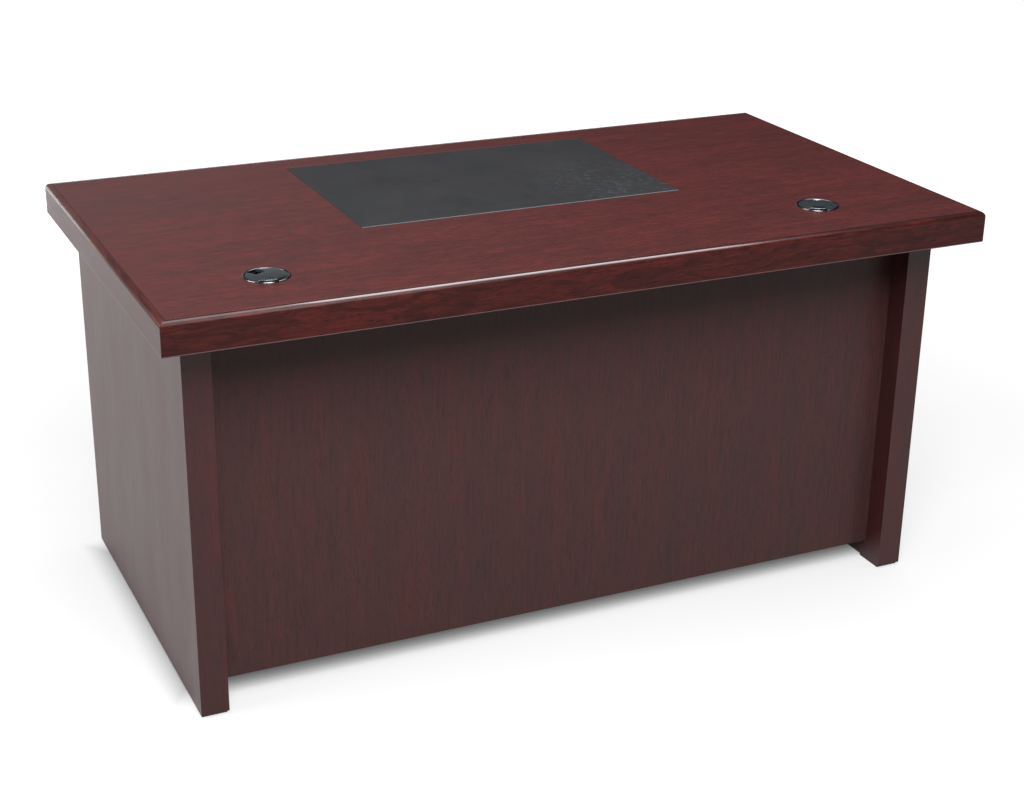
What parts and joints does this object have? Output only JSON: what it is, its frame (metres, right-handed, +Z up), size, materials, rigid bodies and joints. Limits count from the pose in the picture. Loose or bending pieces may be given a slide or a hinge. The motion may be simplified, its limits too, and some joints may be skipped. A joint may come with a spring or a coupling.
{
  "type": "teacher desk",
  "caption": "Mahogany-laminate teacher desk: thick top with inset writing mat and cable grommets, end panels, modesty panel, drawer pedestal with lock, and cupboard.",
  "frame": {"origin": "on the floor, under the middle of the top", "axes": "+X across the desk, -Y towards the visitor's side, +Y towards the user's side, +Z up"},
  "size_m": [1.55, 0.84, 0.766],
  "materials": {
    "mahogany_laminate": "satin mahogany wood-grain laminate",
    "mahogany_inner": "matt mahogany wood-grain laminate",
    "drawer_box_board": "matt board",
    "mat_leather": "fine-grained charcoal leatherette",
    "chrome": "polished",
    "dark_cap": "glossy dark grey",
    "runner_steel": "zinc-plated",
    "handle_metal": "satin nickel",
    "cam_zinc": "die-cast",
    "black_plastic": "matt black",
    "dowel_wood": "bare beech"
  },
  "bodies": {
    "desk": {"cabinet_runners": "runner_steel", "cam_bolts": "runner_steel", "cam_locks": "cam_zinc", "cupboard_bottom": "mahogany_inner", "cupboard_rail": "mahogany_inner", "cupboard_shelf": "mahogany_inner", "cupboard_side": "mahogany_inner", "door_catch": "black_plastic", "dowels": "dowel_wood", "drawer_unit_bottom": "mahogany_inner", "drawer_unit_rail": "mahogany_inner", "drawer_unit_side": "mahogany_inner", "front_left_glide": "black_plastic", "front_right_glide": "black_plastic", "hinge_panel_leaves": "runner_steel", "hinge_pins": "runner_steel", "left_end_panel": "mahogany_laminate", "left_grommet_ring": "chrome", "modesty_panel": "mahogany_laminate", "rear_left_glide": "black_plastic", "rear_right_glide": "black_plastic", "right_end_panel": "mahogany_laminate", "right_grommet_ring": "chrome", "shelf_pins": "runner_steel", "top_board": "mahogany_laminate", "top_front_edge": "mahogany_laminate", "top_left_edge": "mahogany_laminate", "top_lower_board": "mahogany_inner", "top_rear_edge": "mahogany_laminate", "top_right_edge": "mahogany_laminate", "writing_mat": "mat_leather"},
    "left_cap": {"left_grommet_cap": "dark_cap"},
    "right_cap": {"right_grommet_cap": "dark_cap"},
    "door": {"cupboard_door": "mahogany_laminate", "door_handle": "handle_metal", "hinge_door_leaves": "runner_steel"},
    "drawer_1": {"drawer_1_back": "drawer_box_board", "drawer_1_bottom": "drawer_box_board", "drawer_1_front": "mahogany_laminate", "drawer_1_handle": "handle_metal", "drawer_1_left_side": "drawer_box_board", "drawer_1_right_side": "drawer_box_board", "drawer_1_runners": "runner_steel", "drawer_lock_housing": "chrome"},
    "drawer_2": {"drawer_2_back": "drawer_box_board", "drawer_2_bottom": "drawer_box_board", "drawer_2_front": "mahogany_laminate", "drawer_2_handle": "handle_metal", "drawer_2_left_side": "drawer_box_board", "drawer_2_right_side": "drawer_box_board", "drawer_2_runners": "runner_steel"},
    "drawer_3": {"drawer_3_back": "drawer_box_board", "drawer_3_bottom": "drawer_box_board", "drawer_3_front": "mahogany_laminate", "drawer_3_handle": "handle_metal", "drawer_3_left_side": "drawer_box_board", "drawer_3_right_side": "drawer_box_board", "drawer_3_runners": "runner_steel"},
    "drawer_lock": {"drawer_lock_barrel": "chrome", "drawer_lock_tongue": "runner_steel"}
  },
  "joints": [
    {"name": "left_cap_turn", "type": "hinge", "parent": "desk", "child": "left_cap", "pos_m": [-0.557, -0.2665, 0.76], "axis": [0, 0, 1], "continuous": true},
    {"name": "right_cap_turn", "type": "hinge", "parent": "desk", "child": "right_cap", "pos_m": [0.507, -0.2665, 0.76], "axis": [0, 0, 1], "continuous": true},
    {"name": "door_swing", "type": "hinge", "parent": "desk", "child": "door", "pos_m": [0.6719, 0.3835, 0.379], "axis": [0, 0, -1], "range_deg": [0, 100]},
    {"name": "drawer_1_slide", "type": "slide", "parent": "desk", "child": "drawer_1", "axis": [0, 1, 0], "range_m": [0, 0.36]},
    {"name": "drawer_2_slide", "type": "slide", "parent": "desk", "child": "drawer_2", "axis": [0, 1, 0], "range_m": [0, 0.36]},
    {"name": "drawer_3_slide", "type": "slide", "parent": "desk", "child": "drawer_3", "axis": [0, 1, 0], "range_m": [0, 0.36]},
    {"name": "lock_turn", "type": "hinge", "parent": "drawer_1", "child": "drawer_lock", "pos_m": [-0.5, 0.38, 0.666], "axis": [0, 1, 0], "range_deg": [0, 90]}
  ]
}
